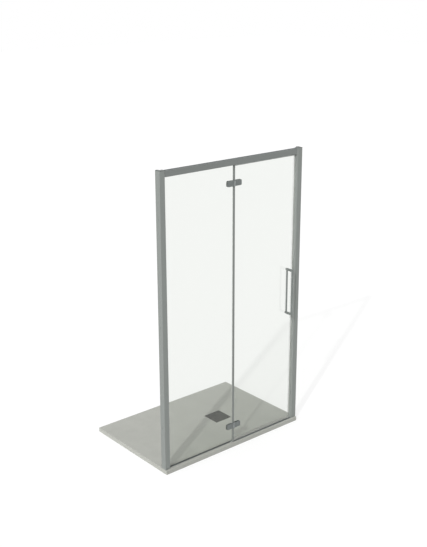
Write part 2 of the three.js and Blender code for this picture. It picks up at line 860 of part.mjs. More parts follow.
const thresholdBackV = thresholdSetback + thresholdWidth;
const thresholdTopZ = trayHeight + thresholdHeight;
const thresholdX = splitX - blockFromSplit;
const thresholdShape = behindOutline([
  [thresholdSetback, trayHeight], [thresholdBackV, trayHeight], [thresholdBackV, thresholdTopZ],
  [thresholdSetback + thresholdSlope, thresholdTopZ],
  [thresholdSetback, thresholdTopZ - thresholdSlope],
]);
const threshold = across(thresholdShape, thresholdX + fitGap, closingX - fitGap);
addPiece('threshold_strip', threshold, darkRubber);

const blockShape = behindOutline([
  [thresholdSetback, trayHeight], [footFrontV - fitGap, trayHeight],
  [footFrontV - fitGap, trayHeight + blockHeight],
  [thresholdSetback + thresholdSlope, trayHeight + blockHeight],
  [thresholdSetback, thresholdTopZ - thresholdSlope],
]);
addPiece('sill_end_block', across(blockShape, thresholdX - blockLength, thresholdX), palePlastic);

// Strip in the rail over the door: a foot in the slot, a flange and the lip that stops the door
const stopLow = railBottomZ - fitGap;
const stopLipBack = slotBack + stopLipThickness;
const stopShape = behindOutline([
  [gasketFront, stopLow - stopFlange],
  [slotBack, stopLow - stopFlange],
  [slotBack, stopLow - stopLipDrop],
  [stopLipBack, stopLow - stopLipDrop],
  [stopLipBack, stopLow],
  [gasketBack, stopLow],
  [gasketBack, railBottomZ + stopFootHeight],
  [gasketFront, railBottomZ + stopFootHeight],
]);
const stopStrip = across(stopShape, splitX + stopFromSplit, closingX - fitGap);
addPiece('rail_stop_strip', stopStrip, darkRubber);

// Panes
function hingeScrewPlaces(direction) {
  const places = [];
  for (const hingeZ of [lowHingeZ, highHingeZ]) {
    for (const z of [hingeZ - hingeScrewPitch / 2, hingeZ + hingeScrewPitch / 2]) {
      places.push([hingeX + direction * hingeScrewReach, z]);
    }
  }
  return places;
}

const handleScrewZs = [
  handleZ - handleHeight / 2 + handleEndBar / 2,
  handleZ + handleHeight / 2 - handleEndBar / 2,
];

function makePane(x0, z0, x1, z1, holes) {
  const shape = rectangle(x0, z0, x1, z1);
  for (const [x, z] of holes) addRoundHole(shape, x, z, glassHoleRadius);
  return facing(shape, behind(glassSetback), behind(glassBack));
}

const fixedHoles = hingeScrewPlaces(-1);
const fixedPane = makePane(fixedLeftX, fixedBottomZ, fixedRightX, fixedTopZ, fixedHoles);
addPiece('fixed_glass', fixedPane, clearGlass);
const doorHoles = [...hingeScrewPlaces(1), ...handleScrewZs.map((z) => [handleX, z])];
const doorPane = makePane(doorLeftX, doorBottomZ, doorRightX, doorTopZ, doorHoles);
addPiece('door_glass', doorPane, clearGlass);

// Seals on the door's edges
const sealInnerFront = glassSetback - fitGap;
const sealInnerBack = glassBack + fitGap;
const sealLowZ = doorBottomZ - sealFootDrop;

function xBehindOutline(points) {
  return outline(points.map(([x, v]) => [x, behind(v)]));
}

const splitLegX = doorLeftX + sealGrip;
const splitFaceX = doorLeftX - fitGap;
const splitTipX = fixedRightX + runGap;
const splitSealShape = xBehindOutline([
  [splitLegX, sealFront],
  [splitLegX, sealInnerFront],
  [splitFaceX, sealInnerFront],
  [splitFaceX, sealInnerBack],
  [splitLegX, sealInnerBack],
  [splitLegX, sealBack],
  [splitTipX + splitBulb, sealBack],
  [splitTipX, sealBack - splitBulbSlope],
  [splitTipX, sealFront + splitBulbSlope],
  [splitTipX + splitBulb, sealFront],
]);
const hingeClear = hingeHalf + padInset;
const splitSealSpans = {
  lower: [sealLowZ, lowHingeZ - hingeClear],
  middle: [lowHingeZ + hingeClear, highHingeZ - hingeClear],
  upper: [highHingeZ + hingeClear, doorTopZ],
};
for (const [place, [z0, z1]] of Object.entries(splitSealSpans)) {
  addPiece(`split_seal_${place}`, upright(splitSealShape, z0, z1), greySeal);
}

const magnetLegX = doorRightX - sealGrip;
const magnetFaceX = doorRightX + fitGap;
const magnetTipX = closingX - magnetSealTipGap;
const magnetSealShape = xBehindOutline([
  [magnetLegX, sealFront], [magnetTipX, sealFront], [magnetTipX, sealBack], [magnetLegX, sealBack],
  [magnetLegX, sealInnerBack], [magnetFaceX, sealInnerBack],
  [magnetFaceX, sealInnerFront], [magnetLegX, sealInnerFront],
]);
addChamber(
  magnetSealShape,
  magnetFaceX + magnetChamberWall, behind(sealFront + magnetChamberWall),
  magnetTipX - magnetChamberWall, behind(sealBack - magnetChamberWall),
);
addPiece('door_magnet_seal', upright(magnetSealShape, sealLowZ, doorTopZ), paleSeal);

const dripTopZ = doorBottomZ + dripGrip;
const dripFloorZ = doorBottomZ - fitGap;
const dripBaseZ = dripFloorZ - dripBase;
const dripLipZ = dripBaseZ - dripLipDrop;
const dripShape = behindOutline([
  [sealFront, dripTopZ],
  [sealFront, dripBaseZ],
  [sealFront + dripLipOffset, dripBaseZ],
  [sealFront + dripLipOffset + sealWall, dripLipZ],
  [sealBack, dripLipZ],
  [sealBack, dripTopZ],
  [sealInnerBack, dripTopZ],
  [sealInnerBack, dripFloorZ],
  [sealInnerFront, dripFloorZ],
  [sealInnerFront, dripTopZ],
]);
const dripSeal = across(dripShape, splitLegX + fitGap, magnetLegX - fitGap);
addPiece('door_drip_seal', dripSeal, dripPlastic);

// Hinges: each has a leaf with knuckles outside each pane, a back leaf inside it, and a pin
const leafDirections = { fixed: -1, door: 1 };
const knuckleHeight = hingeHeight / knuckleCount;

function leafOutline(direction, z) {
  const [near, far] = [hingeX + direction * leafStart, hingeX + direction * leafReach];
  const [low, high] = [z - hingeHalf, z + hingeHalf];
  const shape = new THREE.Shape();
  const centre = far - direction * leafCorner;
  shape.moveTo(near, low);
  shape.lineTo(centre, low);
  const outward = direction > 0 ? 0 : Math.PI;
  const clockwise = direction < 0;
  shape.absarc(centre, low + leafCorner, leafCorner, -Math.PI / 2, outward, clockwise);
  shape.absarc(centre, high - leafCorner, leafCorner, outward, Math.PI / 2, clockwise);
  shape.lineTo(near, high);
  return shape;
}

function hingeScrewZs(z) {
  return [z - hingeScrewPitch / 2, z + hingeScrewPitch / 2];
}

// The fixed leaf has the outer two knuckles, and the door's leaf has the middle one
function knuckleSpans(piece, z) {
  const [low, high] = [z - hingeHalf, z + hingeHalf];
  const [first, second] = [low + knuckleHeight, high - knuckleHeight];
  if (piece === 'fixed') {
    return { own: [[low, first], [second, high]], room: [[first, second]] };
  }
  return {
    own: [[first + slideGap, second - slideGap]],
    room: [[low - cutOverrun, first + slideGap], [second - slideGap, high + cutOverrun]],
  };
}

function makeLeaf(piece, z) {
  const direction = leafDirections[piece];
  const lineY = behind(hingeLine);
  const { own, room } = knuckleSpans(piece, z);
  const plate = facing(leafOutline(direction, z), behind(leafFront), behind(leafBack), leafBevel);
  const knuckles = own.map(([z0, z1]) => uprightRod(knuckleRadius, hingeX, lineY, z0, z1));
  const spaces = room.map(([z0, z1]) => uprightRod(knuckleRadius + runGap, hingeX, lineY, z0, z1));
  const [boreLow, boreHigh] = [z - hingeHalf - cutOverrun, z + hingeHalf + cutOverrun];
  const bore = uprightRod(pinRadius + slideGap, hingeX, lineY, boreLow, boreHigh);
  const screwX = hingeX + direction * hingeScrewReach;
  const threads = hingeScrewZs(z).map((screwZ) => (
    facingRod(screwHoleRadius, screwX, screwZ, behind(leafBack - leafThreadDepth), behind(glassBack))
  ));
  return cut(join(plate, knuckles), [...spaces, bore, ...threads]);
}

function makeBackLeaf(piece, z) {
  const direction = leafDirections[piece];
  const plate = facing(
    leafOutline(direction, z), behind(backLeafFront), behind(backLeafBack), leafBevel,
  );
  const screwX = hingeX + direction * hingeScrewReach;
  const holes = hingeScrewZs(z).map((screwZ) => {
    const drill = [
      [0, -cutOverrun], [sunkHeadRadius + runGap, -cutOverrun], [sunkHeadRadius + runGap, 0],
      [screwHoleRadius, sunkHeadHeight], [screwHoleRadius, backLeafThickness + cutOverrun],
      [0, backLeafThickness + cutOverrun],
    ];
    return screwFromBehind(turned(drill, holeSegments), screwX, backLeafBack, screwZ);
  });
  return cut(plate, holes);
}

// A gasket folded round the pane's edge, between the glass and both leaves
function makePad(piece, z) {
  const direction = leafDirections[piece];
  const edgeX = direction < 0 ? fixedRightX : doorLeftX;
  const faceX = edgeX - direction * fitGap;
  const foldX = faceX - direction * padThickness;
  const farX = hingeX + direction * padReach;
  const shape = xBehindOutline([
    [farX, leafBack + padGap], [foldX, leafBack + padGap],
    [foldX, backLeafFront - padGap], [farX, backLeafFront - padGap],
    [farX, glassBack + padGap], [faceX, glassBack + padGap],
    [faceX, glassSetback - padGap], [farX, glassSetback - padGap],
  ]);
  const pad = upright(shape, z - hingeHalf + padInset, z + hingeHalf - padInset);
  const screwX = hingeX + direction * hingeScrewReach;
  const holes = hingeScrewZs(z).map((screwZ) => (
    facingRod(padHoleRadius, screwX, screwZ, behind(leafFront), behind(backLeafBack))
  ));
  return cut(pad, holes);
}

const hingeScrewLength = backLeafBack - leafBack + leafThreadDepth - screwEndGap;

for (const [place, z] of Object.entries({ low: lowHingeZ, high: highHingeZ })) {
  for (const piece of Object.keys(leafDirections)) {
    const screwX = hingeX + leafDirections[piece] * hingeScrewReach;
    addPiece(`hinge_${place}_${piece}_leaf`, makeLeaf(piece, z), hingeMetal);
    addPiece(`hinge_${place}_${piece}_back_leaf`, makeBackLeaf(piece, z), hingeMetal);
    addPiece(`hinge_${place}_${piece}_pad`, makePad(piece, z), darkRubber);
    hingeScrewZs(z).forEach((screwZ, k) => {
      const screw = screwFromBehind(sunkScrew(hingeScrewLength), screwX, backLeafBack, screwZ);
      addPiece(`hinge_${place}_${piece}_screw_${k + 1}`, screw, screwSteel);
    });
  }
  const pin = uprightRod(pinRadius, hingeX, behind(hingeLine), z - hingeHalf, z + hingeHalf);
  addPiece(`hinge_${place}_pin`, pin, screwSteel);
}

// Handle, with two screws through the door glass
function makeHandle() {
  const [low, high] = [handleZ - handleHeight / 2, handleZ + handleHeight / 2];
  const shape = rectangle(behind(handleFrontV), low, behind(handleBackV), high);
  addChamber(
    shape,
    behind(handleFrontV + handleBar), low + handleEndBar,
    behind(handleBackV - handleBar), high - handleEndBar,
  );
  const loop = across(shape, handleX - handleBar / 2, handleX + handleBar / 2, handleBevel);
  const threads = handleScrewZs.map((z) => (
    facingRod(screwHoleRadius, handleX, z, behind(handleBackV - handleThreadDepth), behind(glassBack))
  ));
  return cut(loop, threads);
}

addPiece('handle_loop', makeHandle(), handleMetal);

const handleScrewLength = glassBack + padGap - handleBackV + handleThreadDepth - screwEndGap;
handleScrewZs.forEach((z, k) => {
  const screw = panScrew(screwRadius, handleHeadRadius, handleHeadHeight, handleScrewLength);
  const placed = screwFromBehind(screw, handleX, glassBack + padGap, z);
  addPiece(`handle_screw_${['low', 'high'][k]}`, placed, handleMetal);
});

export default group;
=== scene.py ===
import math

import bpy
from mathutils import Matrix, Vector


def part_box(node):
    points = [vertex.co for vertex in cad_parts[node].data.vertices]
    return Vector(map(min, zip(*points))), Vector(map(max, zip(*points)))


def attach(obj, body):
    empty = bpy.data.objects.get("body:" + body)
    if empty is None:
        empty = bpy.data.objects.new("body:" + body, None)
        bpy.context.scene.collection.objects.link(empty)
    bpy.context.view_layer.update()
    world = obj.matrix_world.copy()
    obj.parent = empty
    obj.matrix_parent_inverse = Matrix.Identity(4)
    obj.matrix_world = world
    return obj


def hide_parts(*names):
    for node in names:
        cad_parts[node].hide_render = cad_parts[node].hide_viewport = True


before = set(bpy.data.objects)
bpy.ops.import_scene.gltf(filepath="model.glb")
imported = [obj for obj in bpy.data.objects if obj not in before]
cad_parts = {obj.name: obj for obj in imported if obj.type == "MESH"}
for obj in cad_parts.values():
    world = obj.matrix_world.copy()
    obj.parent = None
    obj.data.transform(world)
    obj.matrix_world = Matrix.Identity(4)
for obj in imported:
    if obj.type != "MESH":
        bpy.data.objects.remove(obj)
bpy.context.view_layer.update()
print("frame loaded")

mm = 0.001  # every length below is in metres, written as millimetres times this
hair = 0.05 * mm  # places closer than this count as one
overCut = 1 * mm  # how far a cutting tool runs past the face it cuts
sameWay = 0.999  # directions count as one when their cosine is above this
softAngle = 30  # edges with a sharper turn than this, in degrees, are softened
upAxis = Vector((0, 0, 1))
backAxis = Vector((0, 1, 0))
rightAxis = Vector((1, 0, 0))

# Steps round a circle, fewer on smaller parts
largeSides = 64
pinSides = 48
smallSides = 32
threadSides = 24
socketSides = 6


# Selecting, modelling and finishing

def takeUp(piece):  # makes it the only selected object
    bpy.ops.object.select_all(action="DESELECT")
    piece.select_set(True)
    bpy.context.view_layer.objects.active = piece


def settle():  # puts a new object's place into its mesh
    bpy.ops.object.transform_apply(location=True, rotation=True, scale=True)
    return bpy.context.object


def named(piece, name):
    piece.name = name
    piece.data.name = name
    return piece


def editing(piece):
    takeUp(piece)
    bpy.ops.object.mode_set(mode="EDIT")


def doneEditing():
    bpy.ops.object.mode_set(mode="OBJECT")


def pick(piece, kind, test):  # in edit mode, picks by place and by normal or direction
    bpy.ops.mesh.select_mode(type=kind)
    bpy.ops.mesh.select_all(action="DESELECT")
    bpy.ops.object.mode_set(mode="OBJECT")
    mesh = piece.data
    if kind == "FACE":
        for face in mesh.polygons:
            face.select = test(face.center, face.normal)
    elif kind == "EDGE":
        for edge in mesh.edges:
            start, end = [mesh.vertices[i].co for i in edge.vertices]
            edge.select = test((start + end) / 2, (end - start).normalized())
    else:
        for point in mesh.vertices:
            point.select = test(point.co, point.normal)
    bpy.ops.object.mode_set(mode="EDIT")


def along(direction, axis):
    return abs(direction.dot(axis)) > sameWay


def facesUp(normal):
    return normal.dot(upAxis) > sameWay


def near(value, target):
    return abs(value - target) < hair


def middleOf(node):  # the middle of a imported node's box
    low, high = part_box(node)
    return (low + high) / 2


def addBlock(low, high):
    low, high = Vector(low), Vector(high)
    bpy.ops.object.select_all(action="DESELECT")
    bpy.ops.mesh.primitive_cube_add(size=1, location=(low + high) / 2, scale=high - low)
    return settle()


def addRod(radius, start, end, sides):
    start, end = Vector(start), Vector(end)
    line = end - start
    bpy.ops.object.select_all(action="DESELECT")
    bpy.ops.mesh.primitive_cylinder_add(
        vertices=sides,
        radius=radius,
        depth=line.length,
        location=(start + end) / 2,
        rotation=line.to_track_quat("Z", "Y").to_euler(),
    )
    return settle()


def addTurned(profile):  # rings of (radius, height), each drawn out of the last
    radius, height = profile[0]
    bpy.ops.object.select_all(action="DESELECT")
    bpy.ops.mesh.primitive_circle_add(
        vertices=smallSides, radius=radius, fill_type="NGON", location=(0, 0, height)
    )
    piece = settle()
    editing(piece)
    bpy.ops.mesh.select_all(action="SELECT")
    for nextRadius, nextHeight in profile[1:]:
        move = {"value": (0, 0, nextHeight - height)}
        bpy.ops.mesh.extrude_region_move(TRANSFORM_OT_translate=move)
        share = nextRadius / radius
        bpy.ops.transform.resize(value=(share, share, 1), center_override=(0, 0, nextHeight))
        radius, height = nextRadius, nextHeight
    bpy.ops.mesh.select_all(action="SELECT")
    bpy.ops.mesh.normals_make_consistent(inside=False)
    doneEditing()
    return piece


def roundEdges(piece, width, steps, test):  # rounds the edges that pass the test
    editing(piece)
    pick(piece, "EDGE", test)
    bpy.ops.mesh.bevel(offset=width, segments=steps, affect="EDGES")
    doneEditing()


def applyModifier(piece, kind, **settings):
    takeUp(piece)
    bpy.ops.object.modifier_add(type=kind)
    modifier = piece.modifiers[-1]
    for key, value in settings.items():
        setattr(modifier, key, value)
    bpy.ops.object.modifier_apply(modifier=modifier.name)


def softenEdges(piece, width, steps=2):
    applyModifier(
        piece,
        "BEVEL",
        width=width,
        segments=steps,
        limit_method="ANGLE",
        angle_limit=math.radians(softAngle),
        miter_outer="MITER_ARC",
    )


def combine(piece, tool, operation):  # joins or cuts with another solid, which goes
    applyModifier(piece, "BOOLEAN", operation=operation, object=tool, solver="EXACT")
    bpy.data.objects.remove(tool)


def cutAway(piece, *tools):
    for tool in tools:
        combine(piece, tool, "DIFFERENCE")


def weldOn(piece, tool):
    combine(piece, tool, "UNION")


def moveMesh(piece, offset=(0, 0, 0), turn=None, mirror=None):
    takeUp(piece)
    if turn:
        angle, axis = turn
        bpy.ops.transform.rotate(value=angle, orient_axis=axis, center_override=(0, 0, 0))
    if mirror:
        bpy.ops.transform.resize(value=mirror, center_override=(0, 0, 0))
    bpy.ops.transform.translate(value=offset)
    settle()
    if mirror:  # which turned it inside out
        editing(piece)
        bpy.ops.mesh.select_all(action="SELECT")
        bpy.ops.mesh.normals_make_consistent(inside=False)
        doneEditing()
    return piece


def anotherOf(piece, **move):
    takeUp(piece)
    bpy.ops.object.duplicate(linked=False)
    return moveMesh(bpy.context.object, **move)


copySettings = {"weld": 0.002 * mm, "flat": 0.2}  # flat in degrees


def copyNode(node):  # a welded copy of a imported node, with its flat faces made whole
    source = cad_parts[node]
    piece = bpy.data.objects.new(node, source.data.copy())
    bpy.context.scene.collection.objects.link(piece)
    editing(piece)
    bpy.ops.mesh.select_all(action="SELECT")
    bpy.ops.mesh.remove_doubles(threshold=copySettings["weld"])
    bpy.ops.mesh.dissolve_limited(angle_limit=math.radians(copySettings["flat"]))
    doneEditing()
    return piece


def newName(node):  # wall_profile_left becomes wallProfileLeft
    first, *rest = node.split("_")
    return first + "".join(word.capitalize() for word in rest)


def finishPiece(piece, name, body, nodes, material, smooth=50):  # smooth in degrees
    named(piece, name)
    takeUp(piece)
    bpy.ops.object.shade_smooth_by_angle(angle=math.radians(smooth))
    applyModifier(piece, "WEIGHTED_NORMAL", keep_sharp=True)  # keeps the flats between edges flat
    piece.data.materials.clear()
    piece.data.materials.append(material)
    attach(piece, body)
    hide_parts(*nodes)


# Materials

white = (1, 1, 1, 1)
noiseSpan = (0.3, 0.7)  # nearly all of a noise texture's values lie between these
usualBump = 0.4


def hexColour(code):  # an sRGB hex value turned to linear
    shares = [int(code[i:i + 2], 16) / 255 for i in (1, 3, 5)]
    linear = [c / 12.92 if c <= 0.04045 else ((c + 0.055) / 1.055) ** 2.4 for c in shares]
    return (*linear, 1)


def addNode(tree, kind, links=None, values=None, **settings):
    node = tree.nodes.new(kind)
    for key, value in settings.items():
        setattr(node, key, value)
    for key, value in (values or {}).items():
        node.inputs[key].default_value = value
    for key, socket in (links or {}).items():
        tree.links.new(socket, node.inputs[key])
    return node


def newMaterial(name):
    material = bpy.data.materials.new(name)
    material.use_nodes = True
    tree = material.node_tree
    tree.nodes.clear()
    return material, tree, addNode(tree, "ShaderNodeOutputMaterial")


def dressSurface(tree, out, settings, tone, grain, values=None):
    # Colour between two tones, with gloss and relief from the same grain
    ramp = addNode(tree, "ShaderNodeValToRGB", links={"Fac": tone})
    span = settings.get("span", noiseSpan)
    for stop, place, shade in zip(ramp.color_ramp.elements, span, ("dark", "light")):
        stop.position = place
        stop.color = hexColour(settings[shade])
    (low, high), (smooth, rough) = noiseSpan, settings["roughness"]
    gloss = addNode(
        tree, "ShaderNodeMapRange", links={"Value": grain},
        values={"From Min": low, "From Max": high, "To Min": smooth, "To Max": rough},
    )
    bump = addNode(
        tree, "ShaderNodeBump", links={"Height": grain},
        values={"Strength": settings.get("bump", usualBump), "Distance": settings["relief"]},
    )
    shader = addNode(
        tree, "ShaderNodeBsdfPrincipled", values=values,
        links={
            "Base Color": ramp.outputs["Color"],
            "Roughness": gloss.outputs["Result"],
            "Normal": bump.outputs["Normal"],
        },
    )
    tree.links.new(shader.outputs["BSDF"], out.inputs["Surface"])


resinSettings = {
    "dark": "#a2a39d",
    "light": "#afb0aa",
    "span": (0.5, 1.0),
    "grain": 1.6 * mm,
    "cloud": 90 * mm,
    "cloudShare": 0.5,
    "relief": 0.12 * mm,
    "bump": 0.5,
    "roughness": (0.62, 0.78),
}


def makeStoneResin():
    # Mineral-filled resin cast in a mould with a matt gel coat: fine sandy grain and faint clouds.
    # Its grain is drawn at about three times the real size, so that it shows
    settings = resinSettings
    material, tree, out = newMaterial("stoneResin")
    place = addNode(tree, "ShaderNodeTexCoord").outputs["Object"]
    grain = addNode(
        tree, "ShaderNodeTexNoise", links={"Vector": place},
        values={"Scale": 1 / settings["grain"], "Detail": 3.0, "Roughness": 0.6},
    ).outputs["Fac"]
    cloud = addNode(
        tree, "ShaderNodeTexNoise", links={"Vector": place},
        values={"Scale": 1 / settings["cloud"], "Detail": 2.0},
    ).outputs["Fac"]
    tone = addNode(
        tree, "ShaderNodeMath", operation="MULTIPLY_ADD",
        links={0: cloud, 2: grain}, values={1: settings["cloudShare"]},
    ).outputs["Value"]
    dressSurface(tree, out, settings, tone, grain)
    return material


# The lines are drawn wider than real ones, of about 0.05 mm, so that they show
metalSettings = {
    "anodisedOuter": {
        "dark": "#808582", "light": "#8b8f8c", "roughness": (0.42, 0.54), "metallic": 0.35,
        "line": 0.7 * mm, "length": 400 * mm, "axis": 2, "relief": 0.01 * mm,
    },
    # A lighter copy of the same anodised aluminium: painted light for the closing profile's lit
    # side face, shared by the glass profile
    "anodisedInnerPaintedLight": {
        "dark": "#8d928f", "light": "#989c99", "roughness": (0.42, 0.54), "metallic": 0.3,
        "line": 0.7 * mm, "length": 400 * mm, "axis": 2, "relief": 0.01 * mm,
    },
    # A darker copy of the same anodised aluminium, with its lines along the rail: the darker tone
    # is painted shade
    "anodisedAcrossPaintedShade": {
        "dark": "#767a78", "light": "#808482", "roughness": (0.42, 0.54), "metallic": 0.35,
        "line": 0.7 * mm, "length": 400 * mm, "axis": 0, "relief": 0.01 * mm,
    },
    "hingeSteel": {
        "dark": "#6c7170", "light": "#787d7c", "roughness": (0.38, 0.5), "metallic": 0.4,
        "line": 0.4 * mm, "length": 30 * mm, "axis": 0, "relief": 0.008 * mm,
    },
    # Knuckle steel: smoother than the plates' steel, and lighter as a painted highlight for the
    # knuckles' lit side
    "barrelSteelPaintedHighlight": {
        "dark": "#868b8a", "light": "#939897", "roughness": (0.26, 0.36), "metallic": 0.5,
        "line": 0.4 * mm, "length": 4 * mm, "axis": 2, "relief": 0.006 * mm,
    },
    "handleSteel": {
        "dark": "#757a78", "light": "#828785", "roughness": (0.36, 0.48), "metallic": 0.4,
        "line": 0.4 * mm, "length": 60 * mm, "axis": 2, "relief": 0.008 * mm,
    },
    "coverSteel": {
        "dark": "#3d3e3a", "light": "#494a45", "roughness": (0.6, 0.72), "metallic": 0.0,
        "line": 1.2 * mm, "length": 9 * mm, "axis": 0, "relief": 0.03 * mm, "gloss": 0.25,
    },
    "turnedSteel": {
        "dark": "#8c908f", "light": "#9b9f9e", "roughness": (0.24, 0.36), "metallic": 1.0,
        "line": 0.3 * mm, "length": 3 * mm, "axis": 2, "relief": 0.006 * mm,
    },
}


def makeMetal(name):
    # Drawn, brushed or turned metal: fine lines run the way it was worked, and spread its gloss.
    # Anodised and coated metal lies under a skin, so it is only partly metallic
    settings = metalSettings[name]
    material, tree, out = newMaterial(name)
    scale = [1 / settings["line"]] * 3
    scale[settings["axis"]] = 1 / settings["length"]
    place = addNode(tree, "ShaderNodeTexCoord").outputs["Object"]
    stretched = addNode(tree, "ShaderNodeMapping", links={"Vector": place}, values={"Scale": scale})
    lines = addNode(
        tree, "ShaderNodeTexNoise", links={"Vector": stretched.outputs["Vector"]},
        values={"Scale": 1.0, "Detail": 2.0, "Roughness": 0.55},
    ).outputs["Fac"]
    values = {"Metallic": settings["metallic"], "Specular IOR Level": settings.get("gloss", 0.5)}
    dressSurface(tree, out, settings, lines, lines, values)
    return material


plasticSettings = {
    "darkRubber": {
        "dark": "#4b5051", "light": "#585d5d", "roughness": (0.6, 0.75),
        "grain": 0.8 * mm, "relief": 0.02 * mm,
    },
    "greySeal": {
        "dark": "#767a77", "light": "#808481", "roughness": (0.45, 0.55),
        "grain": 1.5 * mm, "relief": 0.01 * mm,
    },
    "dripPlastic": {
        "dark": "#a6a9a4", "light": "#afb2ad", "roughness": (0.5, 0.6),
        "grain": 0.7 * mm, "relief": 0.02 * mm,
    },
    "paleSeal": {
        "dark": "#e3e6e1", "light": "#ebeee9", "roughness": (0.25, 0.35),
        "grain": 1.5 * mm, "relief": 0.01 * mm, "cover": 0.04,
    },
    "palePlastic": {
        "dark": "#8f928d", "light": "#999c97", "roughness": (0.5, 0.6),
        "grain": 0.7 * mm, "relief": 0.02 * mm,
    },
    "capPlastic": {
        "dark": "#5c605e", "light": "#666a68", "roughness": (0.5, 0.6),
        "grain": 0.7 * mm, "relief": 0.02 * mm,
    },
}


def makePlastic(name):
    # Moulded or extruded rubber and plastic: even colour, with the fine grain of the tool,
    # which is drawn coarser than the real 0.1 mm, so that it shows
    settings = plasticSettings[name]
    material, tree, out = newMaterial(name)
    place = addNode(tree, "ShaderNodeTexCoord").outputs["Object"]
    grain = addNode(
        tree, "ShaderNodeTexNoise", links={"Vector": place},
        values={"Scale": 1 / settings["grain"], "Detail": 2.0},
    ).outputs["Fac"]
    values = {"IOR": 1.5, "Alpha": settings.get("cover", 1.0)}
    dressSurface(tree, out, settings, grain, grain, values)
    return material


glassSettings = {
    "face": "#eff1ee",
    "edge": "#c9d4cd",
    "light": "#e9ebe8",
    "gloss": "#bababa",
    "edgeRoughness": 0.3,
    "ior": 1.52,
}


def makeGlass(name, colour, roughness):
    # Toughened float glass: clear, with a faint grey-green cast. Lamp light passes straight through
    settings = glassSettings
    material, tree, out = newMaterial(name)
    path = addNode(tree, "ShaderNodeLightPath")
    soft = addNode(
        tree, "ShaderNodeMath", operation="MAXIMUM",
        links={0: path.outputs["Is Shadow Ray"], 1: path.outputs["Is Diffuse Ray"]},
    )
    glass = addNode(
        tree, "ShaderNodeBsdfPrincipled",
        values={
            "Base Color": hexColour(colour),
            "Roughness": roughness,
            "IOR": settings["ior"],
            "Transmission Weight": 1.0,
            "Specular Tint": hexColour(settings["gloss"]),
        },
    )
    clear = addNode(
        tree, "ShaderNodeBsdfTransparent", values={"Color": hexColour(settings["light"])}
    )
    mixed = addNode(
        tree, "ShaderNodeMixShader",
        links={0: soft.outputs["Value"], 1: glass.outputs["BSDF"], 2: clear.outputs["BSDF"]},
    )
    tree.links.new(mixed.outputs["Shader"], out.inputs["Surface"])
    return material


stoneResin = makeStoneResin()
metals = {name: makeMetal(name) for name in metalSettings}
plastics = {name: makePlastic(name) for name in plasticSettings}
glassFace = makeGlass("toughenedGlass", glassSettings["face"], 0.0)
glassEdge = makeGlass("groundGlassEdge", glassSettings["edge"], glassSettings["edgeRoughness"])
print("materials made")


# Camera, at the photograph's viewing angle

cameraSettings = {
    "place": (-3.82603, -4.72085, 3.17042),
    "turn": 0.708546,
    "tilt": -0.31169,
    "lens": 60.904,
    "sensor": 36,
    "shift": (-0.0151, -0.0111),
    "farthest": 100,
}


def makeCamera():
    settings = cameraSettings
    tilt = math.pi / 2 + settings["tilt"]
    bpy.ops.object.camera_add(location=settings["place"], rotation=(tilt, 0, -settings["turn"]))
    camera = bpy.context.object
    camera.data.lens = settings["lens"]
    camera.data.sensor_width = settings["sensor"]
    camera.data.shift_x, camera.data.shift_y = settings["shift"]
    camera.data.clip_end = settings["farthest"]
    bpy.context.scene.camera = camera


makeCamera()
bpy.context.scene.view_settings.view_transform = "Standard"


# Floor, sky and two lamps

stageSettings = {
    "floorSize": 60,
    "floorColour": "#bebebc",
    "floorShadow": 0.34,
    "sky": 0.7,
}

# Where each lamp's light travels to, and how wide the lamp looks, in degrees
lampSettings = {
    "key": {"strength": 1.41, "travel": (1, 0.56, -0.79), "size": 1.4},
    "side": {"strength": 1.75, "travel": (0.95, 0.14, -0.28), "size": 80},
}


def seenRay(tree):  # 1 for rays that show the surface itself, also in metal and through glass
    path = addNode(tree, "ShaderNodeLightPath")
    mirrored = addNode(
        tree, "ShaderNodeMath", operation="MAXIMUM",
        links={0: path.outputs["Is Camera Ray"], 1: path.outputs["Is Glossy Ray"]},
    )
    through = addNode(
        tree, "ShaderNodeMath", operation="MAXIMUM",
        links={0: mirrored.outputs["Value"], 1: path.outputs["Is Transmission Ray"]},
    )
    return through.outputs["Value"]


def makeFloor():  # lit as it is, but seen as white with part of the shadow
    bpy.ops.object.select_all(action="DESELECT")
    bpy.ops.mesh.primitive_plane_add(size=stageSettings["floorSize"], location=(0, 0, 0))
    floor = named(bpy.context.object, "floor")
    material, tree, out = newMaterial("paleFloor")
    lit = addNode(
        tree, "ShaderNodeBsdfDiffuse", values={"Color": hexColour(stageSettings["floorColour"])}
    )
    share = stageSettings["floorShadow"]
    kept = addNode(tree, "ShaderNodeBsdfDiffuse", values={"Color": (share, share, share, 1)})
    glow = addNode(tree, "ShaderNodeEmission", values={"Color": white, "Strength": 1 - share})
    seen = addNode(
        tree, "ShaderNodeAddShader", links={0: kept.outputs["BSDF"], 1: glow.outputs["Emission"]}
    )
    mixed = addNode(
        tree, "ShaderNodeMixShader",
        links={0: seenRay(tree), 1: lit.outputs["BSDF"], 2: seen.outputs["Shader"]},
    )
    tree.links.new(mixed.outputs["Shader"], out.inputs["Surface"])
    floor.data.materials.append(material)


def makeSky():  # dimmer as light than as background
    world = bpy.data.worlds.new("paleRoom")
    bpy.context.scene.world = world
    world.use_nodes = True
    tree = world.node_tree
    tree.nodes.clear()
    light, seen = [
        addNode(tree, "ShaderNodeBackground", values={"Color": white, "Strength": strength})
        for strength in (stageSettings["sky"], 1.0)
    ]
    mixed = addNode(
        tree, "ShaderNodeMixShader",
        links={0: seenRay(tree), 1: light.outputs["Background"], 2: seen.outputs["Background"]},
    )
    out = addNode(tree, "ShaderNodeOutputWorld")
    tree.links.new(mixed.outputs["Shader"], out.inputs["Surface"])


def makeLamp(name):
    settings = lampSettings[name]
    bpy.ops.object.light_add(type="SUN", location=(0, 0, 0))
    lamp = named(bpy.context.object, name)
    lamp.rotation_euler = Vector(settings["travel"]).to_track_quat("-Z", "Y").to_euler()
    lamp.data.energy = settings["strength"]
    lamp.data.angle = math.radians(settings["size"])


makeFloor()
makeSky()
for name in lampSettings:
    makeLamp(name)
print("stage and lights made")


# Tray, with a flat rim, four shallow falls, the cover's recess and the waste hole

